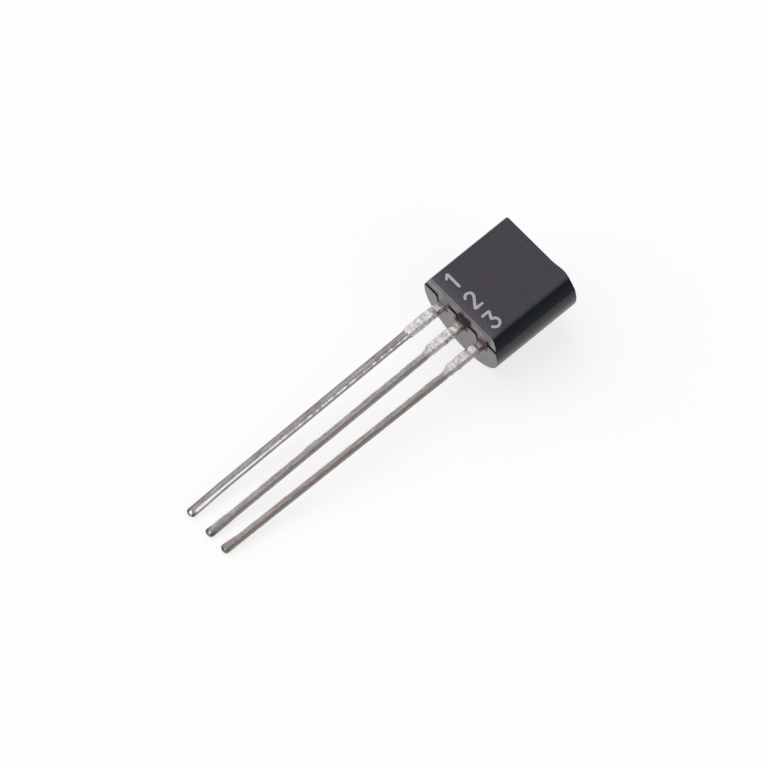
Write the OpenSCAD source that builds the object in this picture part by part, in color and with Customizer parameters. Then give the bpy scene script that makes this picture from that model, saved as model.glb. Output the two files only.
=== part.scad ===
// Three-lead transistor in a moulded TO-92 package, at its real size in millimetres.
//
// Each piece is drawn upright in the package's own directions: x runs across the leads, y runs from
// the lead tips to the top of the body, and z stands out of the flat face, which lies at z = 0.
// lie_down() then lays the whole part on a table, flat face up, as it comes to rest by itself.

/* [Moulded body] */
// Width of the body, which is the diameter of its round back
body_w = 4.7; // [4.0:0.05:6.5]
// Height of the body along the leads
body_h = 4.45; // [3.6:0.05:6.5]
// Depth of the body from the flat face to the round back
body_d = 3.65; // [3.1:0.05:4.5]
// Depth of the parting line of the mould behind the flat face
parting_d = 0.72; // [0.4:0.02:0.95]
// Height by which the back mould half stands out past the front half at the lead end
lip_h = 0.06; // [0.01:0.01:0.15]
// Draft angle of the end faces in the front mould half, in degrees
front_draft = 2; // [0:0.5:8]
// Draft angle of the end faces in the back mould half, in degrees
back_draft = 1; // [0:0.5:6]
// Room beside a lead in the front half's step that reaches down to it
tooth_margin = 0.05; // [0.02:0.01:0.15]
// Slope of the sides of that step, in degrees
tooth_slope = 6; // [0:1:25]
// Diameter of the ejector pin's mark on the back
ejector_dia = 1.1; // [0.5:0.1:2]
// Depth of the ejector pin's mark at its centre
ejector_depth = 0.09; // [0.02:0.01:0.2]
// Width of the scar that the moulding gate leaves on the top
gate_w = 0.8; // [0.3:0.1:1.6]
// Thickness of the gate scar, front to back
gate_t = 0.24; // [0.1:0.02:0.5]
// Height of the gate scar above the top
gate_h = 0.04; // [0.01:0.01:0.1]
// Distance of the gate scar from the middle of the body
gate_offset = 0.9; // [-1.2:0.1:1.2]

/* [Leads] */
// Distance between the centres of neighbouring leads
pitch = 1.27; // [1.1:0.01:1.6]
// Length of the leads from the body to their tips
lead_len = 14.3; // [8:0.1:18]
// Width of a lead beyond its wide root
lead_w = 0.38; // [0.3:0.01:0.46]
// Thickness of the sheet that the leads are stamped from
lead_t = 0.34; // [0.25:0.01:0.5]
// Radius of the leads' long edges
lead_edge_r = 0.09; // [0.03:0.01:0.12]
// Depth of the middle of the leads behind the flat face
lead_depth = 1.38; // [1.25:0.01:1.6]
// Width of the wide root that the trimmed tie bar leaves on each lead
root_w = 0.5; // [0.42:0.01:0.62]
// Length of the wide root outside the body
root_len = 1.85; // [1:0.05:3]
// Chamfer at the end of the wide root
root_chamfer = 0.06; // [0.01:0.01:0.1]
// Lean of the emitter lead from the shoulder on, in degrees, positive towards the base side
emitter_lean = 0.6; // [-1.5:0.1:1.5]
// Lean of the collector lead, in degrees
collector_lean = 0.5; // [-1.5:0.1:1.5]
// Lean of the base lead, in degrees
base_lean = -0.6; // [-1.5:0.1:1.5]

/* [Lead frame inside the body] */
// Height of the middle of the die pad above the lead end of the body
pad_y = 2.75; // [2.4:0.05:3]
// Width of the die pad on the collector lead
pad_w = 1.3; // [0.9:0.05:1.5]
// Height of the die pad
pad_h = 1.5; // [1.2:0.05:1.7]
// Width of the bonding post on an outer lead
post_w = 0.74; // [0.6:0.02:0.8]
// Height of the bonding post
post_h = 0.9; // [0.6:0.05:1.2]
// Shift of the bonding post away from the middle of the body
post_shift = 0.14; // [0.1:0.01:0.18]
// Corner radius of the die pad and the posts
frame_r = 0.12; // [0.05:0.01:0.16]
// Depth of the two notches that lock each lead in the moulding
notch_d = 0.1; // [0.04:0.01:0.14]
// Distance of those notches from the lead end of the body
notch_y = 0.9; // [0.6:0.05:1.1]

/* [Die and bond wires] */
// Side of the square silicon die
die_side = 0.55; // [0.35:0.01:0.7]
// Thickness of the die
die_t = 0.2; // [0.12:0.01:0.25]
// Thickness of the layer that fixes the die to its pad
attach_t = 0.03; // [0.015:0.005:0.05]
// Width of that layer beyond the die on each side
attach_rim = 0.05; // [0.01:0.01:0.1]
// Diameter of the bond wires
wire_dia = 0.04; // [0.025:0.005:0.05]
// Height of a wire's loop above the top of the die
wire_rise = 0.22; // [0.1:0.01:0.3]
// Diameter of the ball bond on the die
ball_dia = 0.1; // [0.08:0.01:0.14]
// Thickness of the ball bond and of the foot on the post
bond_t = 0.025; // [0.015:0.005:0.04]
// Diameter of the wire's foot on the post
foot_dia = 0.12; // [0.08:0.01:0.16]

/* [Hidden] */
$fn = 64;

// Overshoot of the tools that cut the outlines
past = 1;

// Round back
back_r = body_w / 2;
axis_d = body_d - back_r;
back_rise = (body_d - parting_d) * tan(back_draft);
past_rise = (body_d + past - parting_d) * tan(back_draft);
front_rise = parting_d * tan(front_draft);

// Side on which each lead stands: emitter, collector, base
EMITTER = -1;
COLLECTOR = 0;
BASE = 1;
lean = [emitter_lean, collector_lean, base_lean];
lead_front = lead_depth - lead_t / 2;
lead_back = lead_depth + lead_t / 2;
shank_len = lead_len - root_len;
shank_bite = root_chamfer;

// Stack on the die pad, as heights of its faces
attach_z = -lead_front;
die_z = attach_z + attach_t;
die_top_z = die_z + die_t;
wire_sides = 8;
wire_rings = 14;

// Bond places on the die, and on the post of the outer leads
die_bond = [die_side * 0.25, pad_y + die_side * 0.1];
post_y = pad_y - 0.15;
post_bond = [pitch + post_shift - post_w * 0.15, post_y + post_h * 0.1];

// Attitude at rest: the back rim of the body's lead end and the undersides of the lead tips touch the table
rim_y = back_rise - lip_h;
rest_tilt = atan2(body_d - lead_back, rim_y + lead_reach());
rest_z = body_d * cos(rest_tilt) - rim_y * sin(rest_tilt);
top_end = (body_h - back_rise) * cos(rest_tilt) + body_d * sin(rest_tilt);
tip_end = -lead_reach() * cos(rest_tilt) + lead_front * sin(rest_tilt);
rest_y = -(top_end + tip_end) / 2;

// Furthest reach of the three leaning tips from the body
function tip_reach(a) = root_len + shank_len * cos(a) + (lead_w / 2 - lead_edge_r) * abs(sin(a));
function lead_reach() = max([for (a = lean) tip_reach(a)]);

// ---- small shapes ----

// Rectangle with round corners, centred
module round_rect(w, h, r) {
    square([w - 2 * r, h], center = true);
    square([w, h - 2 * r], center = true);
    for (x = [-1, 1], y = [-1, 1])
        translate([x * (w / 2 - r), y * (h / 2 - r)]) circle(r = r);
}

// Straight bar with round long edges in the plane of the leads, from height y down to y - length
module bar(w, y, length) {
    translate([0, y, -lead_depth]) rotate([90, 0, 0]) linear_extrude(length) round_rect(w, lead_t, lead_edge_r);
}

// Flat part of the lead frame, stamped from the sheet
module stamped() {
    translate([0, 0, -lead_back]) linear_extrude(lead_t) children();
}

// ---- body ----

// Outline across the body: a circle cut off by the flat face
module d_outline() {
    intersection() {
        translate([0, -axis_d]) circle(r = back_r, $fn = 128);
        translate([-body_w, -2 * body_d]) square([2 * body_w, 2 * body_d]);
    }
}

// Outline of the body seen from the side: two drafted mould halves, the back one longer towards the leads
module side_outline() {
    polygon([
        [front_rise, 0],
        [0, -parting_d],
        [-lip_h, -parting_d],
        [past_rise - lip_h, -body_d - past],
        [body_h - past_rise, -body_d - past],
        [body_h, -parting_d],
        [body_h - front_rise, 0]
    ]);
}

// Part of the front half that steps down to a lead through the back half's lip
module tooth_gap() {
    top_w = root_w / 2 + tooth_margin + (lead_depth - parting_d) * tan(tooth_slope);
    low_w = root_w / 2 + tooth_margin;
    rotate([90, 0, 0]) linear_extrude(lip_h + past)
        polygon([[-low_w, -lead_depth], [low_w, -lead_depth], [top_w, -parting_d], [-top_w, -parting_d]]);
}

module gate_scar() {
    translate([gate_offset - gate_w / 2, body_h - past, -parting_d - gate_t])
        cube([gate_w, past + gate_h, gate_t]);
}

module ejector_mark() {
    translate([0, body_h / 2, -body_d - past]) cylinder(d = ejector_dia, h = past + ejector_depth);
}

module epoxy_shape() {
    difference() {
        union() {
            intersection() {
                translate([0, body_h + past, 0]) rotate([90, 0, 0]) linear_extrude(body_h + 2 * past) d_outline();
                rotate([90, 0, 90]) translate([0, 0, -body_w]) linear_extrude(2 * body_w) side_outline();
            }
            gate_scar();
        }
        ejector_mark();
        for (side = [EMITTER, COLLECTOR, BASE])
            translate([side * pitch, 0, 0]) tooth_gap();
    }
}

// ---- leads ----

// Outside part of a lead: the wide root with its chamfered shoulders, and the leaning shank
module lead_outside(side) {
    translate([side * pitch, 0, 0]) {
        intersection() {
            bar(root_w, 0, root_len);
            stamped() polygon([
                [-root_w / 2, 0],
                [root_w / 2, 0],
                [root_w / 2, -root_len + root_chamfer],
                [root_w / 2 - root_chamfer, -root_len],
                [-root_w / 2 + root_chamfer, -root_len],
                [-root_w / 2, -root_len + root_chamfer]
            ]);
        }
        translate([0, -root_len, 0]) rotate([0, 0, lean[side + 1]]) bar(lead_w, shank_bite, shank_len + shank_bite);
    }
}

// Neck inside the body, with the two notches that keep the lead from being pulled out
module neck(top) {
    difference() {
        translate([-root_w / 2, 0]) square([root_w, top]);
        for (x = [-1, 1])
            translate([x * root_w / 2, notch_y]) circle(r = notch_d);
    }
}

module outer_lead(side) {
    lead_outside(side);
    stamped() {
        translate([side * pitch, 0]) neck(post_y);
        translate([side * (pitch + post_shift), post_y]) round_rect(post_w, post_h, frame_r);
    }
}

module collector_shape() {
    lead_outside(COLLECTOR);
    stamped() {
        neck(pad_y);
        translate([0, pad_y]) round_rect(pad_w, pad_h, frame_r);
    }
}

// ---- die and bond wires ----

module die_shape() {
    translate([-die_side / 2, pad_y - die_side / 2, die_z]) cube([die_side, die_side, die_t]);
}

module attach_shape() {
    side = die_side + 2 * attach_rim;
    translate([-side / 2, pad_y - side / 2, attach_z]) cube([side, side, attach_t]);
}

// The wire rises straight off the ball, arches over and comes straight down on the post
function wire_from(side) = [side * die_bond[0], die_bond[1], die_top_z + bond_t];
function wire_to(side) = [side * post_bond[0], post_bond[1], -lead_front + bond_t];
function wire_point(side, t) =
    let (a = wire_from(side), b = wire_to(side), s = (1 - cos(180 * t)) / 2)
    a + (b - a) * s + [0, 0, wire_rise * sin(180 * t)];
function wire_tangent(side, t) =
    let (a = wire_from(side), b = wire_to(side), v = (b - a) * sin(180 * t) / 2 + [0, 0, wire_rise * cos(180 * t)])
    v / norm(v);
// Each ring lies across the wire, turned about the level direction that is square to the arch
function wire_ring(side, t) =
    let (
        p = wire_point(side, t),
        run = wire_to(side) - wire_from(side),
        level = [-run[1], run[0], 0] / norm([run[0], run[1]]),
        up = cross(wire_tangent(side, t), level)
    )
    [for (k = [0:wire_sides - 1])
        let (a = 360 * (k + 0.5) / wire_sides) p + wire_dia / 2 * (level * cos(a) + up * sin(a))];

module wire_shape(side) {
    points = [for (i = [0:wire_rings]) each wire_ring(side, i / wire_rings)];
    last = wire_rings * wire_sides;
    faces = concat(
        [[for (k = [0:wire_sides - 1]) k]],
        [for (i = [0:wire_rings - 1], k = [0:wire_sides - 1])
            let (a = i * wire_sides, b = (k + 1) % wire_sides)
            [a + k, a + wire_sides + k, a + wire_sides + b, a + b]],
        [[for (k = [0:wire_sides - 1]) last + wire_sides - 1 - k]]
    );
    polyhedron(points = points, faces = faces);
    translate([side * die_bond[0], die_bond[1], die_top_z]) cylinder(d = ball_dia, h = bond_t);
    translate([side * post_bond[0], post_bond[1], -lead_front]) cylinder(d = foot_dia, h = bond_t);
}

// ---- the eight pieces, laid down ----

module lie_down() {
    translate([0, rest_y, rest_z]) rotate([rest_tilt, 0, 0]) children();
}

module epoxy_body() {
    color("#3f3f44") lie_down() difference() {
        epoxy_shape();
        outer_lead(EMITTER);
        collector_shape();
        outer_lead(BASE);
        attach_shape();
        die_shape();
        wire_shape(EMITTER);
        wire_shape(BASE);
    }
}

module lead_emitter() {
    color("#b9b4b1") lie_down() outer_lead(EMITTER);
}

module lead_collector() {
    color("#b9b4b1") lie_down() collector_shape();
}

module lead_base() {
    color("#b9b4b1") lie_down() outer_lead(BASE);
}

module silicon_die() {
    color("#5d6470") lie_down() die_shape();
}

module die_attach() {
    color("#c9b487") lie_down() attach_shape();
}

module bond_wire_emitter() {
    color("#d8b24a") lie_down() wire_shape(EMITTER);
}

module bond_wire_base() {
    color("#d8b24a") lie_down() wire_shape(BASE);
}

epoxy_body();
lead_emitter();
lead_collector();
lead_base();
silicon_die();
die_attach();
bond_wire_emitter();
bond_wire_base();
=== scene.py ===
"""Studio scene of a three-lead transistor in a moulded TO-92 package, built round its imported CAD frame.

Every piece is drawn in millimetres in the package's own directions: x runs across the leads, y from the lead
tips to the top of the body, and z out of the flat face, which lies at z = 0. LAID_DOWN then puts it on the
table, flat face up, exactly where the CAD model lies.
"""

from math import atan2, ceil, cos, pi, radians, sin, sqrt, tan

import bmesh
import bpy
from mathutils import Matrix, Vector, noise

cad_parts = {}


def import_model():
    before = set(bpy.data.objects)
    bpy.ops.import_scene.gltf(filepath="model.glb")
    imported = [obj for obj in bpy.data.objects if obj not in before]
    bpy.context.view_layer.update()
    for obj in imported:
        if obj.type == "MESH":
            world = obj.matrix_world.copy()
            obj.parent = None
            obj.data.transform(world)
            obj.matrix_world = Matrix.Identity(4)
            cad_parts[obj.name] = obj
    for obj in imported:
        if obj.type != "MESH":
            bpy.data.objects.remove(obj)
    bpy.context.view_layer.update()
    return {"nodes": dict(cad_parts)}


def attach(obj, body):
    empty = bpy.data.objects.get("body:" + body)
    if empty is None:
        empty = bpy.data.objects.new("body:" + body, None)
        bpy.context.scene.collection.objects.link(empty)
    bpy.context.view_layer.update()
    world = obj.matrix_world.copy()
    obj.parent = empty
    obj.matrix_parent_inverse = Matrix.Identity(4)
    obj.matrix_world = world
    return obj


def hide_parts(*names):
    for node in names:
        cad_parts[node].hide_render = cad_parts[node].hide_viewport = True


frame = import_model()

# ---- sizes that the CAD model also has, in millimetres ----

MM = 0.001

# The body: its depth runs from the flat face to the round back, and its halves part PARTING_D below the face
BODY_W = 4.7
BODY_H = 4.45
BODY_D = 3.65
PARTING_D = 0.72
# How far the back half stands proud of the front half at the lead end
LIP_H = 0.06
FRONT_DRAFT = radians(2)
BACK_DRAFT = radians(1)
# The teeth of the front half that step down to the leads: their room round a lead and their slope
TOOTH_MARGIN = 0.05
TOOTH_SLOPE = radians(6)
EJECTOR_DIA = 1.1
EJECTOR_DEPTH = 0.09
GATE_W = 0.8
GATE_T = 0.24
GATE_H = 0.04
GATE_OFFSET = 0.9

# The leads outside the body, with their middle LEAD_DEPTH below the flat face and a wide root
PITCH = 1.27
LEAD_LEN = 14.3
LEAD_W = 0.38
LEAD_T = 0.34
LEAD_EDGE_R = 0.09
LEAD_DEPTH = 1.38
ROOT_W = 0.5
ROOT_LEN = 1.85

# The leads inside the body: the die pad, the two posts, and the notches in their necks
PAD_Y = 2.75
PAD_W = 1.3
PAD_H = 1.5
POST_Y = PAD_Y - 0.15
POST_W = 0.74
POST_H = 0.9
POST_SHIFT = 0.14
FRAME_R = 0.12
NOTCH_D = 0.1
NOTCH_Y = 0.9

BACK_R = BODY_W / 2
AXIS_D = BODY_D - BACK_R
LEAD_FRONT = LEAD_DEPTH - LEAD_T / 2
LEAD_BACK = LEAD_DEPTH + LEAD_T / 2

# Each lead's node, the side on which it stands, and its lean from the shoulder on
EMITTER = {"node": "lead_emitter", "side": -1, "lean": radians(0.6)}
COLLECTOR = {"node": "lead_collector", "side": 0, "lean": radians(0.5)}
BASE = {"node": "lead_base", "side": 1, "lean": radians(-0.6)}
LEADS = (EMITTER, COLLECTOR, BASE)


def tip_reach(lean):
    """How far a leaning lead's tip reaches from the body."""
    return ROOT_LEN + (LEAD_LEN - ROOT_LEN) * cos(lean) + (LEAD_W / 2 - LEAD_EDGE_R) * abs(sin(lean))


def laid_down():
    """The place and tilt at rest, on the back rim of the lead end and the undersides of the tips."""
    back_rise = (BODY_D - PARTING_D) * tan(BACK_DRAFT)
    rim_y = back_rise - LIP_H
    reach = max(tip_reach(lead["lean"]) for lead in LEADS)
    tilt = atan2(BODY_D - LEAD_BACK, rim_y + reach)
    rest_z = BODY_D * cos(tilt) - rim_y * sin(tilt)
    top_end = (BODY_H - back_rise) * cos(tilt) + BODY_D * sin(tilt)
    tip_end = -reach * cos(tilt) + LEAD_FRONT * sin(tilt)
    rest_y = -(top_end + tip_end) / 2
    return Vector((0, rest_y, rest_z)), tilt


REST_PLACE, REST_TILT = laid_down()
LAID_DOWN = Matrix.Translation(REST_PLACE * MM) @ Matrix.Rotation(REST_TILT, 4, "X") @ Matrix.Scale(MM, 4)


# ---- mesh tools ----


def arc(centre, radius, start, end, count):
    """Points on an arc from angle start to angle end, both kept."""
    angles = [start + (end - start) * i / count for i in range(count + 1)]
    return [(centre[0] + radius * cos(a), centre[1] + radius * sin(a)) for a in angles]


def smooth_step(a, b, t):
    """0 before a, 1 after b, and smooth between them."""
    share = min(1, max(0, (t - a) / (b - a)))
    return share * share * (3 - 2 * share)


def rounded_path(corners, radii, closed=True, count=5):
    """The path through corners with each turn rounded by its radius."""
    points = []
    for i, corner in enumerate(corners):
        if not closed and i in (0, len(corners) - 1):
            points.append(tuple(corner))
            continue
        here = Vector(corner)
        back = (Vector(corners[i - 1]) - here).normalized()
        ahead = (Vector(corners[(i + 1) % len(corners)]) - here).normalized()
        half = back.angle(ahead) / 2
        reach = radii[i] / tan(half)
        centre = here + (back + ahead).normalized() * (radii[i] / sin(half))
        first = here + back * reach - centre
        turn = first.angle_signed(here + ahead * reach - centre)
        # Vector's signed angle is positive clockwise
        points += [tuple(centre + Matrix.Rotation(-turn * k / count, 2) @ first) for k in range(count + 1)]
    return points


def outward(points):
    """The outward unit normal at each point of a closed outline."""
    area = sum(a[0] * b[1] - b[0] * a[1] for a, b in zip(points, points[1:] + points[:1]))
    way = 1 if area > 0 else -1
    normals = []
    for i in range(len(points)):
        along = Vector(points[(i + 1) % len(points)]) - Vector(points[i - 1])
        normals.append(Vector((along.y, -along.x)).normalized() * way)
    return normals


def bridge(bm, ring, other):
    """Quads between two closed rings of vertices."""
    for i in range(len(ring)):
        j = (i + 1) % len(ring)
        bm.faces.new((ring[i], ring[j], other[j], other[i]))


def rounded_prism(
    bm, points, rims, low, high, lift, extra=None, step=None, rim_faces=4, cap_rings=1, top_rims=None
):
    """A solid on a closed outline, from height low(u, v) to high(u, v), with rounded rims.

    rims holds each point's rim radius, and top_rims the upper ones where they differ, with rim_faces faces
    across. lift turns (u, v, height) into a place. Points marked in extra belong only to the part below
    height step: they make teeth or notches, which end there in caps of their own. The upper cap follows high
    over cap_rings rings.
    """
    top_rims = top_rims or rims
    extra = extra or [False] * len(points)
    normals = outward(points)
    everyone = range(len(points))
    core = [i for i in everyone if not extra[i]]

    def ring(keep, radii, turn, end, way):
        """One ring of a rim. way is 1 on the low end and -1 on the high end."""
        made = []
        for i in keep:
            u, v = Vector(points[i]) - normals[i] * radii[i] * (1 - sin(turn))
            made.append(bm.verts.new(lift(u, v, end(u, v) + way * radii[i] * (1 - cos(turn)))))
        return made

    turns = [pi / 2 * j / rim_faces for j in range(rim_faces + 1)]
    lower = [ring(everyone, rims, turn, low, 1) for turn in turns]
    upper = [ring(core, top_rims, turn, high, -1) for turn in reversed(turns)]
    if any(extra):
        lower.append([bm.verts.new(lift(*points[i], step)) for i in everyone])
    for a, b in zip(lower, lower[1:]):
        bridge(bm, a, b)
    bridge(bm, [lower[-1][i] for i in core], upper[0])
    for a, b in zip(upper, upper[1:]):
        bridge(bm, a, b)
    bm.faces.new(lower[0])

    cap = upper[-1]
    centre = Vector((0, (min(v for u, v in points) + max(v for u, v in points)) / 2))
    edge = [Vector(points[i]) - normals[i] * top_rims[i] for i in core]
    for k in range(1, cap_rings):
        shrunk = [centre + (place - centre) * (1 - k / cap_rings) for place in edge]
        inner = [bm.verts.new(lift(u, v, high(u, v))) for u, v in shrunk]
        bridge(bm, cap, inner)
        cap = inner
    bm.faces.new(cap)
    for first, last in zip(core, core[1:]):
        if last - first > 1:
            bm.faces.new(lower[-1][first : last + 1])


def stood_up(x, z, y):
    """An outline across the part's end, raised along the part."""
    return x, y, z


def in_scene(name, data):
    made = bpy.data.objects.new(name, data)
    bpy.context.scene.collection.objects.link(made)
    return made


def mesh_in_scene(name, bm):
    mesh = bpy.data.meshes.new(name)
    bm.to_mesh(mesh)
    return in_scene(name, mesh)


def cut_out(bm, cutter_bm):
    """Takes one closed mesh out of another."""
    pair = []
    for name, source in (("cut", bm), ("cutter", cutter_bm)):
        bmesh.ops.recalc_face_normals(source, faces=source.faces)
        pair.append(mesh_in_scene(name, source))
    cut = pair[0].modifiers.new("cut", "BOOLEAN")
    cut.object = pair[1]
    cut.solver = "EXACT"
    whole = pair[0].evaluated_get(bpy.context.evaluated_depsgraph_get())
    bm.clear()
    bm.from_mesh(whole.to_mesh())
    whole.to_mesh_clear()
    for scratch in pair:
        bpy.data.meshes.remove(scratch.data)


# Edges that turn by more than this are sharp
SHARP = radians(40)


def new_piece(name, bm, materials):
    """Makes a mesh drawn in the package's directions a piece of the object, laid down on the table."""
    bmesh.ops.recalc_face_normals(bm, faces=bm.faces)
    for edge in bm.edges:
        edge.smooth = edge.calc_face_angle(0) < SHARP
    bm.transform(LAID_DOWN)
    piece = mesh_in_scene(name, bm)
    piece.data.polygons.foreach_set("use_smooth", [True] * len(bm.faces))
    for material in materials:
        piece.data.materials.append(material)
    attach(piece, "root")
    return piece


def even_shading(piece):
    """Large faces decide the shading, so that flats stay flat between their rounded edges."""
    mesh = piece.data
    around = [[] for vertex in mesh.vertices]
    for face in mesh.polygons:
        for corner in face.vertices:
            around[corner].append(face)
    normals = []
    for face in mesh.polygons:
        for corner in face.vertices:
            smooth = [other for other in around[corner] if other.normal.angle(face.normal, pi) < SHARP]
            normals.append(sum((other.normal * other.area for other in smooth), Vector()).normalized())
    mesh.normals_split_custom_set(normals)


# ---- moulded body ----

# Rounded edges: of the flat face's sides, the ends, the front half's near end, and the parting line. The rims
# of the ends start at SEAM_RIM by the parting line, and grow over RIM_REACH or NEAR_RIM_REACH.
FACE_EDGE_R = 0.16
RIM_R = 0.03
RIM_REACH = 0.2
NEAR_RIM_R = 0.08
NEAR_RIM_REACH = 0.5
SEAM_R = 0.01
SEAM_RIM = SEAM_R * 0.8
FACE_EDGE_FACES = 8
FRONT_SIDE_FACES = 14
SEAM_FACES = 5
ROUND_BACK_FACES = 72

# How far the front half stands back from the back half at the parting line
SEAM_INSET = 0.008

# The teeth: their gap to the back half, their shift to the right, their corners, and how far into the body
# they and the back half's notches reach
TOOTH_GAP = 0.006
TOOTH_SHIFT = 0.11
TOOTH_CORNER_R = 0.05
TOOTH_TOP_R = 0.07
TOOTH_Y = 0.4
LIP_Y = 0.03

# The far edge of the flat face bows out near its right corner: how far, and where along x
BOW = 0.057
BOW_FROM = 0.85
BOW_TOP = 1.6
BOW_TO = 2.05
BOW_FACES = 10
FAR_CAP_RINGS = 10

# Heights that differ by less than this are the same
HAIR = 1e-6


def fillet_on_circle(radius, line_z, fillet_r, inside):
    """Where a fillet joins the body's circle to a level line. inside is -1 if the solid is below the line."""
    centre_z = line_z + inside * fillet_r
    centre_x = sqrt((radius - fillet_r) ** 2 - (centre_z + AXIS_D) ** 2)
    return (centre_x, centre_z), atan2(centre_z + AXIS_D, centre_x)


def tooth_corners(margin):
    """The step of the front half down to a lead, from its right top corner to its left one."""
    low_w = ROOT_W / 2 + TOOTH_MARGIN + margin
    top_w = low_w + (LEAD_DEPTH - PARTING_D) * tan(TOOTH_SLOPE)
    foot_z = -LEAD_DEPTH - margin
    return [(top_w, -PARTING_D), (low_w, foot_z), (-low_w, foot_z), (-top_w, -PARTING_D)]


def parting_edge(margin):
    """The parting edge from right to left with its teeth, and for each point whether it is on a tooth."""
    corners = [(2 * PITCH, -PARTING_D)]
    for lead in reversed(LEADS):
        corners += [(x + TOOTH_SHIFT + lead["side"] * PITCH, z) for x, z in tooth_corners(margin)]
    corners.append((-2 * PITCH, -PARTING_D))
    top_r, corner_r = TOOTH_TOP_R - margin, TOOTH_CORNER_R + margin
    radii = [0] + [top_r, corner_r, corner_r, top_r] * len(LEADS) + [0]
    points = rounded_path(corners, radii, closed=False)[1:-1]
    return points, [z < -PARTING_D - HAIR for x, z in points]


def end_rims(points, in_tooth, reach, full):
    """Each point's rim radius: SEAM_RIM by the parting line and on teeth, and full at the distance reach."""
    grown = [SEAM_RIM + (full - SEAM_RIM) * min(1, abs(z + PARTING_D) / reach) for x, z in points]
    return [SEAM_RIM if tooth else rim for rim, tooth in zip(grown, in_tooth)]


def front_half(bm):
    """The half with the flat face, whose teeth step down to the leads."""
    radius = BACK_R - SEAM_INSET
    top, top_angle = fillet_on_circle(radius, 0, FACE_EDGE_R, -1)
    low, low_angle = fillet_on_circle(radius, -PARTING_D, SEAM_R, 1)
    right = [(BOW_FROM + k * (top[0] - BOW_FROM) / BOW_FACES, 0) for k in range(BOW_FACES)]
    right += arc(top, FACE_EDGE_R, pi / 2, top_angle, FACE_EDGE_FACES)
    right += arc((0, -AXIS_D), radius, top_angle, low_angle, FRONT_SIDE_FACES)[1:-1]
    right += arc(low, SEAM_R, low_angle, -pi / 2, SEAM_FACES)
    left = [(-x, z) for x, z in reversed(right)]
    edge, edge_teeth = parting_edge(0)
    points = right + edge + left
    in_tooth = [False] * len(right) + edge_teeth + [False] * len(left)

    def low_end(x, z):
        return (PARTING_D + z) * tan(FRONT_DRAFT)

    def high_end(x, z):
        bow = BOW * smooth_step(BOW_FROM, BOW_TOP, x) * (1 - smooth_step(BOW_TOP, BOW_TO, x))
        return BODY_H - low_end(x, z) + bow * (1 - smooth_step(0, PARTING_D, -z))

    near_rims = end_rims(points, in_tooth, NEAR_RIM_REACH, NEAR_RIM_R)
    far_rims = end_rims(points, in_tooth, RIM_REACH, RIM_R)
    rounded_prism(
        bm, points, near_rims, low_end, high_end, stood_up, in_tooth, TOOTH_Y,
        cap_rings=FAR_CAP_RINGS, top_rims=far_rims,
    )


def back_half(bm):
    """The half with the round back, with notches that take the teeth."""
    top, top_angle = fillet_on_circle(BACK_R, -PARTING_D, SEAM_R, -1)
    right = arc(top, SEAM_R, pi / 2, top_angle, SEAM_FACES)
    right += arc((0, -AXIS_D), BACK_R, top_angle, -pi / 2, ROUND_BACK_FACES)[1:]
    left = [(-x, z) for x, z in reversed(right[:-1])]
    edge, edge_notches = parting_edge(TOOTH_GAP)
    points = right + left + edge[::-1]
    in_notch = [False] * (len(right) + len(left)) + edge_notches[::-1]

    def low_end(x, z):
        return -LIP_H - (PARTING_D + z) * tan(BACK_DRAFT)

    def high_end(x, z):
        return BODY_H + (PARTING_D + z) * tan(BACK_DRAFT)

    rims = end_rims(points, in_notch, RIM_REACH, RIM_R)
    rounded_prism(bm, points, rims, low_end, high_end, stood_up, in_notch, LIP_Y)


def ejector_mark():
    """What the ejector pin pressed out of the back."""
    bm = bmesh.new()
    place = Matrix.Translation((0, BODY_H / 2, EJECTOR_DEPTH - BODY_D - 0.5))
    radius = EJECTOR_DIA / 2
    bmesh.ops.create_cone(
        bm, cap_ends=True, segments=ROUND_BACK_FACES, radius1=radius, radius2=radius, depth=1, matrix=place
    )
    return bm


GATE_COLUMNS = 20
GATE_ROWS = 7
# How deep the scar starts inside the body, and how wide the slope round its top is
GATE_FOOT = 0.1
GATE_SLOPE = 0.045
GATE_TEARS_PER_MM = 9


def gate_height(x, z, row):
    """How high the torn stub stands at a place on it."""
    inside = min(GATE_W / 2 - abs(x), GATE_T * min(row, GATE_ROWS - row) / GATE_ROWS)
    torn = 0.5 + 0.6 * noise.noise(Vector((x * GATE_TEARS_PER_MM, z * GATE_TEARS_PER_MM, 4)))
    top = GATE_H * min(1, max(0.1, torn))
    return BODY_H - GATE_FOOT + (top + GATE_FOOT) * smooth_step(0, GATE_SLOPE, inside)


def gate_scar(bm):
    """The stub that is left where the moulding gate was broken off: a low lump with a torn top."""
    rows = []
    for j in range(GATE_ROWS + 1):
        z = -PARTING_D - GATE_T * j / GATE_ROWS
        row = [GATE_W * (i / GATE_COLUMNS - 0.5) for i in range(GATE_COLUMNS + 1)]
        rows.append([bm.verts.new((GATE_OFFSET + x, gate_height(x, z, j), z)) for x in row])
    for a, b in zip(rows, rows[1:]):
        for i in range(GATE_COLUMNS):
            bm.faces.new((a[i], a[i + 1], b[i + 1], b[i]))
    sides = [row[-1] for row in rows[1:]] + rows[-1][-2::-1] + [row[0] for row in rows[-2:0:-1]]
    bm.faces.new(rows[0] + sides)


FRONT, BACK, END = range(3)
# How far a face has to face along y to belong to an end. The front half's round near rim belongs to it too.
END_FACING = 0.8
NEAR_RIM_FACING = 0.15


def give_finish(faces, finish):
    """Faces of the two ends get their own finish, the others finish."""
    for face in faces:
        face.normal_update()
        y = face.calc_center_median().y
        near = y < TOOTH_Y / 2
        least = NEAR_RIM_FACING if near and finish == FRONT else END_FACING
        at_end = (near or y > BODY_H - TOOTH_Y) and abs(face.normal.y) > least
        face.material_index = END if at_end else finish


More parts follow.
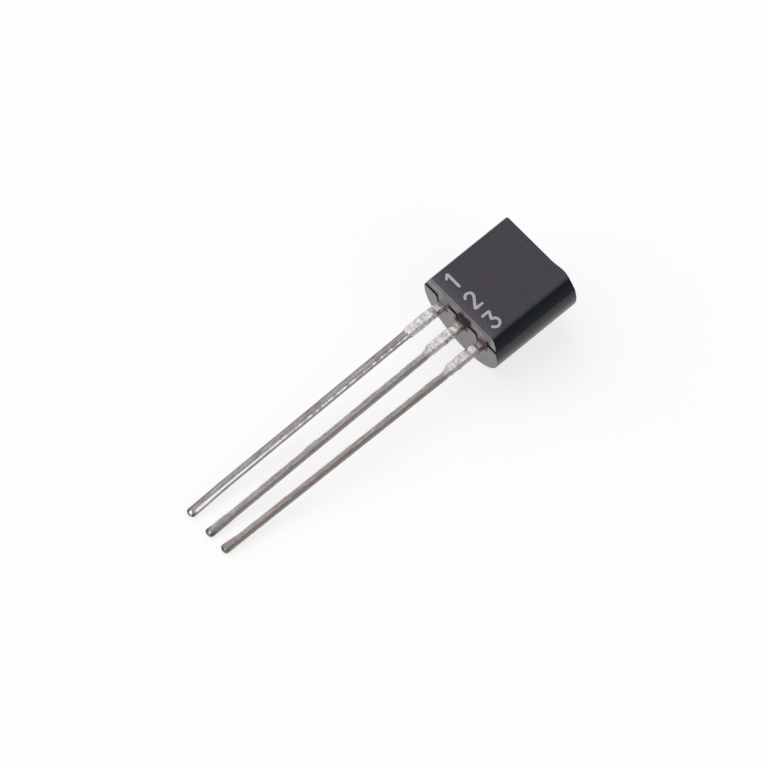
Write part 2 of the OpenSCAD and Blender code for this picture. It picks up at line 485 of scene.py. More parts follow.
def moulded_body():
    bm = bmesh.new()
    back_half(bm)
    cut_out(bm, ejector_mark())
    gate_scar(bm)
    give_finish(bm.faces, BACK)
    back_faces = set(bm.faces)
    front_half(bm)
    give_finish([face for face in bm.faces if face not in back_faces], FRONT)
    piece = new_piece("moulded_body", bm, [epoxy_front(), epoxy_back(), epoxy_end()])
    even_shading(piece)
    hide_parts("epoxy_body")


# ---- leads ----

# What sets each lead's looks apart. Distances along a lead run from the body, and colours are linear.
#   short, late      how much shorter the lead is, and how much later its shoulder comes
#   twist, burr      how far its shank turns, and how high the burrs on its left edge stand
#   left, right      how far its sides stand out at the root, on the shank and at the tip
#   flare            the length of their change to the tip
#   dip, fade        where the solder ends, and over what length it fades
#   bare, creep      where the bare copper ends, and how much further it reaches on the right side
#   highlight_strip  how far right of the middle the painted highlight starts, at the shoulder and at the tip
#   cut              the radius of the painted highlight on the tip's rounded rim
#   side, lit_side   the tin on the right side, darker as painted shade, and on the left, paler as painted light
EMITTER_LOOK = {
    "seed": 1,
    "short": 0.03, "late": 0.12,
    "twist": radians(3), "burr": 0.0,
    "left": (0, -0.01, -0.014), "right": (0, 0.016, 0.065), "flare": 2.2,
    "dip": 1.95, "fade": 0.06,
    "bare": -0.3, "creep": 0.25,
    "highlight_strip": (0.125, 0.105),
    "cut": 0.095, "tip_highlight_colour": (0.97, 0.96, 0.94),
    "dark": (0.097, 0.090, 0.088), "light": (0.32, 0.298, 0.295),
    "mauve": (0.238, 0.194, 0.208), "olive": (0.205, 0.197, 0.180), "tarnish": (0.170, 0.158, 0.148),
    "side": (0.30, 0.295, 0.29), "lit_side": (0.30, 0.295, 0.29),
    "solder": (0.50, 0.478, 0.477), "solder_side": (0.56, 0.54, 0.53),
}
COLLECTOR_LOOK = {
    "seed": 2,
    "short": 0.01, "late": 0.05,
    "twist": radians(-1), "burr": 0.05,
    "left": (0, -0.060, 0.0), "right": (-0.045, 0.022, 0.065), "flare": 1.6,
    "dip": 1.98, "fade": 0.2,
    "bare": 0.06, "creep": 0.12,
    "highlight_strip": None,
    "cut": 0.07, "tip_highlight_colour": (0.52, 0.51, 0.48),
    "dark": (0.111, 0.102, 0.100), "light": (0.305, 0.282, 0.279),
    "mauve": (0.226, 0.183, 0.197), "olive": (0.200, 0.191, 0.174), "tarnish": (0.165, 0.148, 0.138),
    "side": (0.285, 0.270, 0.252), "lit_side": (0.92, 0.89, 0.89),
    "solder": (0.49, 0.470, 0.468), "solder_side": (0.46, 0.435, 0.43),
}
BASE_LOOK = {
    "seed": 3,
    "short": 0.0, "late": 0.06,
    "twist": radians(-1), "burr": 0.05,
    "left": (0, -0.060, 0.010), "right": (-0.05, 0.008, 0.012), "flare": 1.0,
    "dip": 2.0, "fade": 0.2,
    "bare": 0.03, "creep": 0.3,
    "highlight_strip": None,
    "cut": 0.07, "tip_highlight_colour": (0.30, 0.29, 0.28),
    "dark": (0.101, 0.088, 0.087), "light": (0.278, 0.248, 0.246),
    "mauve": (0.216, 0.160, 0.172), "olive": (0.180, 0.166, 0.150), "tarnish": (0.155, 0.128, 0.120),
    "side": (0.245, 0.222, 0.205), "lit_side": (0.92, 0.88, 0.89),
    "solder": (0.45, 0.418, 0.415), "solder_side": (0.33, 0.305, 0.30),
}
LOOKS = (EMITTER_LOOK, COLLECTOR_LOOK, BASE_LOOK)

SECTION_CORNER_STEPS = 6
SECTION_SIDE_STEPS = 3
EDGE_R = 0.1
LEAST_EDGE_R = 0.018

# Spans along a lead over which it narrows, its shank's own traits set in, and its shank turns
NARROWING = (ROOT_LEN - 0.14, ROOT_LEN + 0.06)
SHOULDER = (ROOT_LEN - 0.1, ROOT_LEN + 0.3)
TWISTING = (1.2, 4)

# Where sections stand along a lead: inside the body, then a step apart on the root, the shank and the tip
HIDDEN_STATIONS = [-0.5, -0.2, -0.1]
ROOT_STEP = 0.025
ROOT_STATIONS_END = 2.3
SHANK_STEP = 0.085
TIP_STEP = 0.045
TIP_STATIONS = 10
TIP_STATIONS_LEN = 0.5

TIP_R = 0.15
TIP_TURNS = 6

# The film of solder on the root, the waviness of the shank, and the rims of the lead frame inside the body
SOLDER_FILM = 0.008
SHANK_WAVES = 0.004
FRAME_RIM_R = 0.012


def section(half_w, half_t, edge_r):
    """A rounded rectangle as (x, z, normal x, normal z), the same count of points for every size."""
    flat_w, flat_t = half_w - edge_r, half_t - edge_r
    side_ends = ((-flat_w, half_t), (-half_w, -flat_t), (flat_w, -half_t), (half_w, flat_t))
    made = []
    for quarter, (sx, sz) in enumerate(((1, 1), (-1, 1), (-1, -1), (1, -1))):
        for k in range(SECTION_CORNER_STEPS + 1):
            a = (quarter + k / SECTION_CORNER_STEPS) * pi / 2
            made.append((sx * flat_w + edge_r * cos(a), sz * flat_t + edge_r * sin(a), cos(a), sin(a)))
        nx, nz = cos((quarter + 1) * pi / 2), sin((quarter + 1) * pi / 2)
        (x0, z0), (x1, z1) = made[-1][:2], side_ends[quarter]
        for k in range(1, SECTION_SIDE_STEPS):
            share = k / SECTION_SIDE_STEPS
            made.append((x0 + (x1 - x0) * share, z0 + (z1 - z0) * share, nx, nz))
    return made


def lead_stations():
    """Distances from the body at which a lead's sections stand, closest together on the lumpy root."""
    stations = HIDDEN_STATIONS + [ROOT_STEP * i for i in range(int(ROOT_STATIONS_END / ROOT_STEP))]
    start, end = stations[-1] + 0.06, LEAD_LEN - TIP_STATIONS_LEN
    count = ceil((end - start) / SHANK_STEP)
    stations += [start + (end - start) * i / count for i in range(count + 1)]
    stations += [end + TIP_STEP * i for i in range(1, TIP_STATIONS + 1)]
    return stations


def sections_to_tip(look):
    """The distance from the body and the inset of each section of a lead, to the end of its rounded tip."""
    length = LEAD_LEN - look["short"]
    turns = [pi / 2 * k / TIP_TURNS for k in range(1, TIP_TURNS + 1)]
    plain = [(s, 0) for s in lead_stations() if s < length - TIP_R - 0.01]
    return plain + [(length - TIP_R * (1 - sin(a)), TIP_R * (1 - cos(a))) for a in turns]


def lead_half_width(s):
    """Half the width of a lead at distance s from the body."""
    return ROOT_W / 2 + (LEAD_W - ROOT_W) / 2 * smooth_step(*NARROWING, s)


def on_shank(s):
    """0 on the root, 1 on the shank, and smooth over the shoulder."""
    return smooth_step(*SHOULDER, s)


def stand_out(reach, flare, s):
    """How far one side of a lead stands out from its plain section.

    reach holds it at the root, on the shank and at the tip, and flare is the length of the change to the tip.
    """
    end = smooth_step(LEAD_LEN - flare, LEAD_LEN - 0.3, s)
    return reach[0] + (reach[1] - reach[0]) * on_shank(s) + (reach[2] - reach[1]) * end


def burr_height(look, s):
    """How far the stamped left edge stands out or lies in, in long swells and short ones."""
    swell = max(0, noise.noise(Vector((look["seed"] * 11, s * 0.9, 0))))
    swell += 0.6 * max(0, noise.noise(Vector((look["seed"] * 11, s * 3.2, 5))))
    return (swell - 0.25) * look["burr"] * on_shank(s)


def solder_lump(place, seed):
    """How far the solder on the root stands out at a place."""
    coarse = noise.noise(place * 3.2 + Vector((seed * 7, 0, 0)))
    fine = noise.noise(place * 9 + Vector((0, seed * 5, 0)))
    return 0.026 * coarse + 0.016 * fine


def surface_height(x, s, z, look, inset):
    """How far a lead's surface stands out at a place: lumps of solder on the root, and waves on the shank."""
    seed, dip = look["seed"], look["dip"]
    dipped = smooth_step(0.0, 0.5, s) * (1 - smooth_step(dip - 0.1, dip + 0.12, s))
    height = dipped * (SOLDER_FILM + solder_lump(Vector((x, s, z)), seed)) if dipped else 0
    if inset == 0:
        height += SHANK_WAVES * on_shank(s) * noise.noise(Vector((x * 4 + seed * 5, s * 2.2, z * 4)))
    return height


def lead_outside(bm, lead, look):
    """The lofted outside of a lead, from inside the body to its rounded tip."""
    side, lean = lead["side"], lead["lean"]
    rings = []
    for s, inset in sections_to_tip(look):
        half_w = lead_half_width(s - look["late"])
        twist = look["twist"] * smooth_step(*TWISTING, s)
        beyond = max(0, s - ROOT_LEN)
        middle_x, middle_y = side * PITCH + beyond * sin(lean), -min(s, ROOT_LEN) - beyond * cos(lean)
        middle = Vector((middle_x, middle_y, -LEAD_DEPTH))
        turn = Matrix.Rotation(lean, 3, "Z") @ Matrix.Rotation(twist, 3, "Y")
        left = burr_height(look, s) + stand_out(look["left"], look["flare"], s)
        right = stand_out(look["right"], look["flare"], s)
        edge_r = max(EDGE_R + max(0, left + right) - inset, LEAST_EDGE_R)
        ring = []
        for x, z, nx, nz in section(half_w - inset, LEAD_T / 2 - inset, edge_r):
            x += (right * (half_w + x) - left * (half_w - x)) / (2 * half_w)
            out = surface_height(x, s, z, look, inset)
            ring.append(bm.verts.new(middle + turn @ Vector((x + nx * out, 0, z + nz * out))))
        rings.append(ring)
    for a, b in zip(rings, rings[1:]):
        bridge(bm, a, b)
    bm.faces.new(rings[0])
    bm.faces.new(rings[-1])


def neck_side(neck_x, x, top):
    """One side of the neck inside the body, from the lead end up, with its notch."""
    notch = arc((x, NOTCH_Y), NOTCH_D, -pi / 2, -pi / 2 + (pi if x < 0 else -pi), 8)
    return [(neck_x + u, y) for u, y in [(x, 0)] + notch + [(x, top)]]


def frame_outline(neck_x, pad_x, pad_y, pad_w, pad_h):
    """The outline of a lead inside the body: a notched neck that ends in a pad with round corners."""
    left_x, right_x = pad_x - pad_w / 2, pad_x + pad_w / 2
    foot = pad_y - pad_h / 2
    top = foot + pad_h
    corners = [(right_x, foot), (right_x, top), (left_x, top), (left_x, foot)]
    right = neck_side(neck_x, ROOT_W / 2, foot)
    left = neck_side(neck_x, -ROOT_W / 2, foot)[::-1]
    return right + rounded_path(corners, [FRAME_R] * 4) + left


def lead_inside(bm, lead):
    side = lead["side"]
    if side:
        points = frame_outline(side * PITCH, side * (PITCH + POST_SHIFT), POST_Y, POST_W, POST_H)
    else:
        points = frame_outline(0, 0, PAD_Y, PAD_W, PAD_H)
    rims = [FRAME_RIM_R] * len(points)
    rounded_prism(bm, points, rims, lambda x, y: -LEAD_BACK, lambda x, y: -LEAD_FRONT, lambda *place: place)


def lead_piece(lead, look):
    bm = bmesh.new()
    lead_outside(bm, lead, look)
    lead_inside(bm, lead)
    piece = new_piece("tinned_" + lead["node"], bm, [tinned_copper(lead, look)])
    even_shading(piece)
    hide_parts(lead["node"])


# ---- print ----

PRINT_H = 0.92
PRINT_W = 0.52
PRINT_STROKE = 0.125
# How far the ink stands out of the flat face and reaches into it, and how far from the lead end it starts
PRINT_UP = 0.006
PRINT_SUNK = 0.01
PRINT_Y = 0.72
PEN_GAP = 0.02
PEN_SOFTEN = 12
PEN_RAGGED = 0.16
PEN_WAVES_PER_MM = 9
PEN_END_STEPS = 8


def numeral(number):
    """The pen's path of a plain number, with the middle of its foot at (0, 0)."""
    half, top = (PRINT_W - PRINT_STROKE) / 2, PRINT_H - PRINT_STROKE
    if number == 1:
        return [(-half * 0.8, top - half * 0.9), (half * 0.1, top), (half * 0.1, 0)]
    if number == 2:
        return arc((0, top - half), half, radians(165), radians(-30), 14) + [(-half, 0), (half, 0)]
    bowl = half * 1.12
    return [(-half, top), (half * 0.9, top)] + arc((0, bowl), bowl, radians(95), radians(-160), 20)


def pen_path(corners):
    """A path through corners with a point at each PEN_GAP, and each turn softened as a pen does."""
    points = [Vector(corners[0])]
    for corner in corners[1:]:
        start, end = points[-1], Vector(corner)
        count = max(1, round((end - start).length / PEN_GAP))
        points += [start.lerp(end, k / count) for k in range(1, count + 1)]
    for _ in range(PEN_SOFTEN):
        inner = [(a + b * 2 + c) / 4 for a, b, c in zip(points, points[1:], points[2:])]
        points = [points[0]] + inner + [points[-1]]
    return points


def pen_reach(i, seed):
    """Half the width of the stroke at point i, a little ragged."""
    wave = noise.noise(Vector((i * PEN_GAP * PEN_WAVES_PER_MM, 0, seed)))
    return PRINT_STROKE / 2 * (1 + PEN_RAGGED * wave)


def pen_end(end, near):
    """The half circle that a pen leaves round the end of a stroke, from the point near on."""
    first = near - end
    return [end + Matrix.Rotation(-pi * k / PEN_END_STEPS, 2) @ first for k in range(1, PEN_END_STEPS)]


def pen_outline(points, seed):
    """The outline of the ink that a round pen leaves along points."""
    reach = [pen_reach(i, seed) for i in range(len(points))]
    sides = ([], [])
    for i, point in enumerate(points):
        along = (points[min(i + 1, len(points) - 1)] - points[max(i - 1, 0)]).normalized()
        across = Vector((-along.y, along.x))
        for way, side in zip((1, -1), sides):
            place = point + across * way * reach[i]
            # Inside a sharp turn the outline of one stroke would run into the other
            if all((place - other).length > 0.99 * far for other, far in zip(points, reach)):
                side.append(place)
    there, back = sides[0], sides[1][::-1]
    outline = there + pen_end(points[-1], there[-1]) + back + pen_end(points[0], back[-1])
    return [tuple(point) for point in outline]


def pin_number(number, lead, ink):
    """A plain number on the flat face over its lead, which reads from the lead end to the top."""
    outline = pen_outline(pen_path(numeral(number)), number)
    foot = lead["side"] * PITCH + (PRINT_H - PRINT_STROKE) / 2
    rims = [PRINT_UP / 2] * len(outline)

    def on_face(u, v, height):
        return foot - v, PRINT_Y + u, height

    bm = bmesh.new()
    rounded_prism(bm, outline, rims, lambda u, v: -PRINT_SUNK, lambda u, v: PRINT_UP, on_face, rim_faces=2)
    new_piece("pin_number_" + str(number), bm, [ink])


# ---- materials ----


class Nodes:
    """A short way to write the nodes of a material or a world."""

    def __init__(self, owner, shader="Principled BSDF"):
        owner.use_nodes = True
        self.owner = owner
        self.tree = owner.node_tree
        self.shader = self.tree.nodes[shader]

    def add(self, kind, inputs=None, **settings):
        node = self.tree.nodes.new(kind)
        for key, value in settings.items():
            setattr(node, key, value)
        for key, value in (inputs or {}).items():
            self.join(value, node.inputs[key])
        return node

    def join(self, value, socket):
        """Feeds a socket from a socket, a node, a colour of three numbers or a plain value."""
        if isinstance(value, bpy.types.NodeSocket):
            self.tree.links.new(value, socket)
        elif isinstance(value, bpy.types.Node):
            self.tree.links.new(value.outputs[0], socket)
        elif socket.type == "RGBA":
            socket.default_value = (*value, 1)
        else:
            socket.default_value = value

    def set(self, **sockets):
        """Joins the shader's sockets, written with _ for a space."""
        for key, value in sockets.items():
            self.join(value, self.shader.inputs[key.replace("_", " ")])

    def part_place(self):
        """The place on the part in its own directions, in millimetres."""
        where = self.add("ShaderNodeTexCoord").outputs["Object"]
        laid = {"Location": REST_PLACE * MM, "Rotation": (REST_TILT, 0, 0), "Scale": (MM, MM, MM)}
        return self.add("ShaderNodeMapping", {"Vector": where, **laid}, vector_type="TEXTURE").outputs[0]

    def shifted(self, place, by):
        return self.add("ShaderNodeVectorMath", {0: place, 1: by}, operation="ADD").outputs[0]

    def xyz(self, place):
        return self.add("ShaderNodeSeparateXYZ", {"Vector": place}).outputs

    def facing(self):
        """How far a surface faces along each axis, from -1 to 1."""
        return self.xyz(self.add("ShaderNodeTexCoord").outputs["Normal"])

    def noise(self, place, scale, detail=2, rough=0.5, stretch=None):
        """Noise around 0.5, with scale in features per millimetre."""
        if stretch:
            place = self.add("ShaderNodeMapping", {"Vector": place, "Scale": stretch}).outputs[0]
        inputs = {"Vector": place, "Scale": scale, "Detail": detail, "Roughness": rough}
        return self.add("ShaderNodeTexNoise", inputs).outputs["Fac"]

    def span(self, value, low, high, to_low=0.0, to_high=1.0):
        """value, taken from low..high to to_low..to_high and held there."""
        inputs = {"Value": value, "From Min": low, "From Max": high, "To Min": to_low, "To Max": to_high}
        return self.add("ShaderNodeMapRange", inputs).outputs[0]

    def math(self, operation, a, b=0.0, c=0.0):
        return self.add("ShaderNodeMath", {0: a, 1: b, 2: c}, operation=operation).outputs[0]

    def both(self, first, *others):
        """The product of masks: where all of them are."""
        for other in others:
            first = self.math("MULTIPLY", first, other)
        return first

    def most(self, first, *others):
        for other in others:
            first = self.math("MAXIMUM", first, other)
        return first

    def away(self, value, centre):
        """How far value is from centre."""
        return self.math("ABSOLUTE", self.math("SUBTRACT", value, centre))

    def mix(self, share, first, second):
        node = self.add("ShaderNodeMix", data_type="RGBA")
        for key, value in {"Factor": share, "A": first, "B": second}.items():
            self.join(value, node.inputs[key])
        return node.outputs["Result"]

    def speckle(self, grain, dark, light):
        """A mix of two colours by a grain."""
        return self.mix(self.span(grain, 0.4, 0.6), dark, light)

    def bump(self, height, depth, strength):
        """A normal bent by a height, with depth in millimetres."""
        inputs = {"Height": height, "Distance": depth * MM, "Strength": strength}
        return self.add("ShaderNodeBump", inputs).outputs[0]


def new_material(name):
    return Nodes(bpy.data.materials.new(name))


EPOXY_IOR = 1.30
END_IOR = 1.50
FACE_SPECULAR = 0.23

# The sides' near-black blue is partly their own glossier black, and partly painted shade that stands in for
# their dark reflection
SHADED_SIDE_BLUE = (0.0024, 0.0044, 0.0125)
FACE_PURPLE = (0.050, 0.037, 0.050)
FACE_BLUE = (0.032, 0.038, 0.056)
FACE_BROWN = (0.050, 0.049, 0.043)
FACE_FLECK = (0.075, 0.070, 0.076)
FACE_PALE_NEAR_END = (0.088, 0.077, 0.094)

# The back half's blue-black by the parting line is partly painted shade, and the paler grey further round its
# back is painted rim light
BACK_DARK = (0.0042, 0.0052, 0.0075)
BACK_LIGHT = (0.0065, 0.0070, 0.0090)
RIM_LIT_DARK = (0.020, 0.019, 0.021)
RIM_LIT_LIGHT = (0.034, 0.033, 0.034)

END_PURPLE = (0.099, 0.087, 0.096)
END_OLIVE = (0.093, 0.090, 0.077)
END_CLOUD = (0.068, 0.063, 0.060)
# A painted reflection on the front half's end above the step
END_RIM_PAINTED_REFLECTION = (0.165, 0.160, 0.168)
# A pale patch for the right corner of the front half's end
PALE_CORNER = (0.31, 0.30, 0.28)
TORN_DARK = (0.11, 0.105, 0.105)
TORN_LIGHT = (0.30, 0.29, 0.29)
ASH = (0.19, 0.155, 0.175)
# Painted shade: beside the step at the leads, and in the step itself
STEP_END_SHADE = (0.034, 0.027, 0.017)
STEP_SHADE = (0.020, 0.019, 0.019)

# The painted shade in the step at the lead end: its height, half its width, and the room it leaves at a lead
STEP_Z = 0.03 - PARTING_D
STEP_HALF = 0.045
STEP_GAP = 0.36
STEP_SHIFT = 0.09
STEP_FADE = 0.06

# Patches on the lead end, as middle (x, z), half sizes and seed of the outline: a pale one at the first lead,
# and dull ones of purple and copper flux at the second, of rust at the third, and of painted shade by the
# step
ASH_PATCH = ((-PITCH + 0.06, -0.82), (0.26, 0.34), 9.0)
DULL_PATCHES = (
    (((0.17, -0.62), (0.42, 0.58), 0.0), (0.034, 0.015, 0.026), (0.058, 0.033, 0.046)),
    (((-0.10, -1.10), (0.34, 0.36), 3.0), (0.060, 0.033, 0.030), (0.125, 0.080, 0.068)),
    (((PITCH + 0.14, -1.02), (0.27, 0.30), 5.0), (0.10, 0.045, 0.045), (0.20, 0.115, 0.12)),
    (((0.57, -0.36), (0.12, 0.32), 11.0), STEP_END_SHADE, STEP_END_SHADE),
    (((PITCH + 0.44, -0.72), (0.13, 0.30), 7.0), STEP_END_SHADE, STEP_END_SHADE),
)


def epoxy_grain(n):
    """The place, a slow and a fine variation, which all faces of the moulding compound share."""
    place = n.part_place()
    return place, n.noise(place, 6, detail=5, rough=0.7), n.noise(place, 24, detail=3, rough=0.7)


def moulded_finish(n, cloud, fleck):
    """The gloss and grain that the mould's polished sides leave."""
    rough = n.math("ADD", n.span(cloud, 0.3, 0.7, 0.22, 0.28), n.span(fleck, 0.3, 0.7, -0.03, 0.05))
    n.set(Roughness=rough, IOR=EPOXY_IOR, Normal=n.bump(fleck, 0.005, 0.6))


def epoxy_front():
    """The front half: a dull, slightly purple marked face between blue-black sides, whose near-black is
    partly painted shade.
    """
    n = new_material("epoxy_front")
    place, cloud, fleck = epoxy_grain(n)
    _, y, z = n.xyz(place)
    hue = n.noise(place, 3, detail=3, rough=0.6)
    face = n.mix(n.span(hue, 0.44, 0.56), FACE_PURPLE, FACE_BLUE)
    face = n.mix(n.span(cloud, 0.45, 0.62, 0, 0.8), face, FACE_BROWN)
    face = n.mix(n.span(fleck, 0.5, 0.8, 0, 0.35), face, FACE_FLECK)
    # Paler in patches towards the lead end of the face
    pale_near_end = n.both(n.span(y, 0.05, 0.8, 0.8, 0), n.span(cloud, 0.3, 0.5, 0.4, 1))
    face = n.mix(pale_near_end, face, FACE_PALE_NEAR_END)
    # Off the face, the sides take the near-black blue, which is partly painted shade
    on_face = n.span(z, -0.09, -0.02)
    n.set(Base_Color=n.mix(on_face, SHADED_SIDE_BLUE, face), Specular_IOR_Level=FACE_SPECULAR)
    moulded_finish(n, cloud, fleck)
    return n.owner


def epoxy_back():
    """The back half: blue-black by the parting line, partly painted shade, and a paler grey on its round back
    that is painted rim light.
    """
    n = new_material("epoxy_back")
    place, cloud, fleck = epoxy_grain(n)
    z = n.xyz(place)["Z"]
    patchy = n.span(cloud, 0.35, 0.65)
    smooth = n.mix(patchy, BACK_DARK, BACK_LIGHT)
    # Painted rim light: a paler grey towards the bottom of the round back
    rim_lit = n.mix(patchy, RIM_LIT_DARK, RIM_LIT_LIGHT)
    n.set(Base_Color=n.mix(n.span(z, -1.9, -2.7), smooth, rim_lit))
    moulded_finish(n, cloud, fleck)
    return n.owner


def exit_patch(n, place, centre, size, seed):
    """A mask of a ragged patch on an end, round the point centre = (x, z), with half sizes size."""
    x, _, z = n.xyz(place)
    ragged = n.noise(n.shifted(place, (seed, seed, seed)), 6, detail=6, rough=0.75)
    across = n.math("DIVIDE", n.away(x, centre[0]), size[0])
    along = n.math("DIVIDE", n.away(z, centre[1]), size[1])
    far = n.math("ADD", n.math("POWER", across, 2), n.math("POWER", along, 2))
    far = n.math("ADD", far, n.span(ragged, 0.25, 0.75, -1.1, 1.1))
    return n.span(far, 0.6, 1.15, 1, 0)


def end_ground(n, place, cloud, by_leads):
    """The grey of both ends, and at the leads the front half's rim, painted paler as a painted reflection,
    with a pale patch at its right corner.
    """
    x, _, z = n.xyz(place)
    tint = n.noise(place, 1.7, detail=3, rough=0.6)
    colour = n.mix(n.span(tint, 0.44, 0.56), END_PURPLE, END_OLIVE)
    colour = n.mix(n.span(cloud, 0.35, 0.6, 0.4, 0), colour, END_CLOUD)
    # Painted reflection: the front half's end above the step is painted paler, as if it mirrored brighter
    # floor
    rim = n.both(n.span(z, -0.68, -0.62), by_leads, n.span(tint, 0.4, 0.55, 0.25, 0.8))
    colour = n.mix(rim, colour, END_RIM_PAINTED_REFLECTION)
    # A pale patch at the right corner of the front half's end
    pale_corner = n.both(n.span(x, 1.87, 1.99), n.span(z, -0.66, -0.6), n.span(cloud, 0.34, 0.44), by_leads)
    return n.mix(pale_corner, colour, PALE_CORNER)


def torn_gate(n, place):
    """A mask of the gate scar on the far end."""
    x, y, z = n.xyz(place)
    in_width = n.span(n.away(x, GATE_OFFSET), GATE_W / 2, GATE_W / 2 - 0.04)
    in_thickness = n.span(n.away(z, -PARTING_D - GATE_T / 2), GATE_T / 2, GATE_T / 2 - 0.03)
    return n.both(in_width, in_thickness, n.span(y, 2, 3))


def shaded_step(n, place, fleck):
    """A mask of the painted shade in the step between the mould halves, broken at each lead."""
    x, _, z = n.xyz(place)
    step = n.both(n.span(n.away(z, STEP_Z), STEP_HALF, STEP_HALF + 0.015, 1, 0), n.span(fleck, 0.25, 0.4))
    for lead in LEADS:
        from_lead = n.away(x, lead["side"] * PITCH + STEP_SHIFT)
        step = n.both(step, n.span(from_lead, STEP_GAP, STEP_GAP + STEP_FADE))
    return step


def epoxy_end():
    """The two ends: greyer, with flux and rust where the leads come out, painted shade in the step and beside
    it, and a torn gate scar.
    """
    n = new_material("epoxy_end")
    place, cloud, fleck = epoxy_grain(n)
    by_leads = n.span(n.xyz(place)["Y"], 1.0, 0.5)
    colour = end_ground(n, place, cloud, by_leads)
    colour = n.mix(torn_gate(n, place), colour, n.speckle(fleck, TORN_DARK, TORN_LIGHT))
    colour = n.mix(n.both(exit_patch(n, place, *ASH_PATCH), by_leads, 0.6), colour, ASH)
    dull = []
    for patch, dark, light in DULL_PATCHES:
        dull.append(n.both(exit_patch(n, place, *patch), by_leads))
        colour = n.mix(dull[-1], colour, n.speckle(fleck, dark, light))
    # Painted shade in the step between the halves
    dull.append(n.both(shaded_step(n, place, fleck), by_leads))
    colour = n.mix(dull[-1], colour, STEP_SHADE)

    dull = n.most(*dull)
    rough = n.most(n.span(cloud, 0.3, 0.7, 0.24, 0.34), n.both(dull, 0.85))
    n.set(Base_Color=colour, Roughness=rough, IOR=END_IOR, Specular_IOR_Level=n.span(dull, 0, 1, 0.5, 0.1))
    n.set(Normal=n.bump(n.math("ADD", fleck, n.both(dull, cloud)), 0.008, 0.8))
    return n.owner


def ink():
    """Pale ink that has dried a little uneven."""
    n = new_material("ink")
    speck = n.noise(n.part_place(), 20, detail=4, rough=0.7)
    n.set(Base_Color=n.mix(n.span(speck, 0.35, 0.6), (0.31, 0.29, 0.33), (0.42, 0.40, 0.44)), Roughness=0.6)
    n.set(Normal=n.bump(speck, 0.004, 0.7))
    return n.owner


# A painted highlight and a line of painted shade for the first lead's right edge
PAINTED_HIGHLIGHT = (0.92, 0.91, 0.90)
PAINTED_EDGE_SHADE = (0.07, 0.066, 0.062)
TIP_TIN = (0.165, 0.154, 0.134)
TIP_END = (0.125, 0.118, 0.100)
SOLDER_DARK = (0.20, 0.190, 0.190)
SOLDER_PATCH = (0.40, 0.363, 0.366)
SOLDER_LIT = (0.78, 0.76, 0.755)
RUSTY_DARK = (0.10, 0.058, 0.048)
RUSTY_LIGHT = (0.26, 0.175, 0.145)
RUSTY_LEFT = (0.060, 0.036, 0.032)

# How far right of a lead's middle the painted highlight on its tip lies
TIP_HIGHLIGHT_SHIFT = 0.10


def lead_directions(n, place, lead):
    """How far a place is beyond the shoulder, from the tip, and to the right of the leaning middle."""
    x, y, _ = n.xyz(place)
    beyond = n.most(n.math("SUBTRACT", n.both(y, -1), ROOT_LEN), 0)
    to_tip = n.math("SUBTRACT", LEAD_LEN - ROOT_LEN, beyond)
    middle = n.math("MULTIPLY_ADD", beyond, tan(lead["lean"]), lead["side"] * PITCH)
    return beyond, to_tip, n.math("SUBTRACT", x, middle)


def dull_tin(n, look, grain, streak, patch, speck, tilt):
    """Tin with draw lines, mauve, olive and tarnished patches, painted shade on its right sides and painted
    light on its left ones.
    """
    hue = n.noise(grain, 2.6, detail=3, rough=0.65)
    tin = n.mix(n.span(streak, 0.38, 0.62), look["dark"], look["light"])
    tin = n.mix(n.span(hue, 0.49, 0.55, 0, 0.8), tin, look["mauve"])
    tin = n.mix(n.span(hue, 0.46, 0.40, 0, 0.8), tin, look["olive"])
    tin = n.mix(n.span(patch, 0.5, 0.7, 0, 0.35), tin, look["tarnish"])
    # Painted shade on the right sides, and painted light on the left ones
    side = n.mix(n.span(speck, 0.35, 0.65, 0, 0.35), look["side"], look["dark"])
    tin = n.mix(n.span(tilt, 0.6, 0.88), tin, side)
    return n.mix(n.span(tilt, -0.1, -0.5), tin, look["lit_side"])


def painted_highlight_strip(n, tin, look, grain, beyond, to_tip, across, tilt):
    """A painted highlight along the right edge, whole towards the tip, with a line of painted shade inside
    it.
    """
    start = n.span(beyond, 0, LEAD_LEN - ROOT_LEN, *look["highlight_strip"])
    inner = n.math("SUBTRACT", across, start)
    # A line of painted shade inside the painted highlight
    line = n.both(n.span(inner, -0.04, -0.02), n.span(inner, 0, 0.008, 1, 0), 0.55)
    tin = n.mix(line, tin, PAINTED_EDGE_SHADE)
    strip = n.both(n.span(inner, 0, 0.012), n.span(tilt, 0.76, 0.90, 1, 0), n.span(to_tip, 0.16, 0.3))
    broken = n.noise(grain, 2.8, detail=3, rough=0.7, stretch=(0.2, 1, 0.2))
    whole = n.most(n.span(broken, 0.55, 0.45, 0.3, 1), n.span(beyond, 4, 9))
    return n.mix(n.both(strip, whole), tin, PAINTED_HIGHLIGHT)


def trimmed_tip(n, tin, look, to_tip, across, ahead):
    """Darker tin towards the tip, and a painted highlight on its rounded rim."""
    tin = n.mix(n.span(to_tip, 0.42, 0.22, 0, 0.75), tin, TIP_TIN)
    tin = n.mix(n.span(ahead, -0.1, -0.3, 0, 0.85), tin, TIP_END)
    # A painted highlight on the rounded rim of the tip
    in_spot = n.span(n.away(across, TIP_HIGHLIGHT_SHIFT), look["cut"], look["cut"] * 0.6)
    cut = n.both(n.span(ahead, -0.2, -0.35), n.span(ahead, -0.92, -0.78), in_spot)
    return n.mix(cut, tin, look["tip_highlight_colour"])


def root_solder(n, look, patch, speck, tilt):
    """The paler lumpy solder on the root, with painted light on its left sides, and on its right sides
    painted light on the first lead and painted shade on the others.
    """
    solder = n.mix(n.span(speck, 0.36, 0.64), SOLDER_DARK, look["solder"])
    solder = n.mix(n.span(patch, 0.45, 0.65, 0, 0.5), solder, SOLDER_PATCH)
    # Painted light and shade on the right sides, set per lead, and painted light on the left ones
    solder = n.mix(n.span(tilt, 0.4, 0.7), solder, look["solder_side"])
    return n.mix(n.span(tilt, -0.1, -0.4, 0, 0.95), solder, SOLDER_LIT)


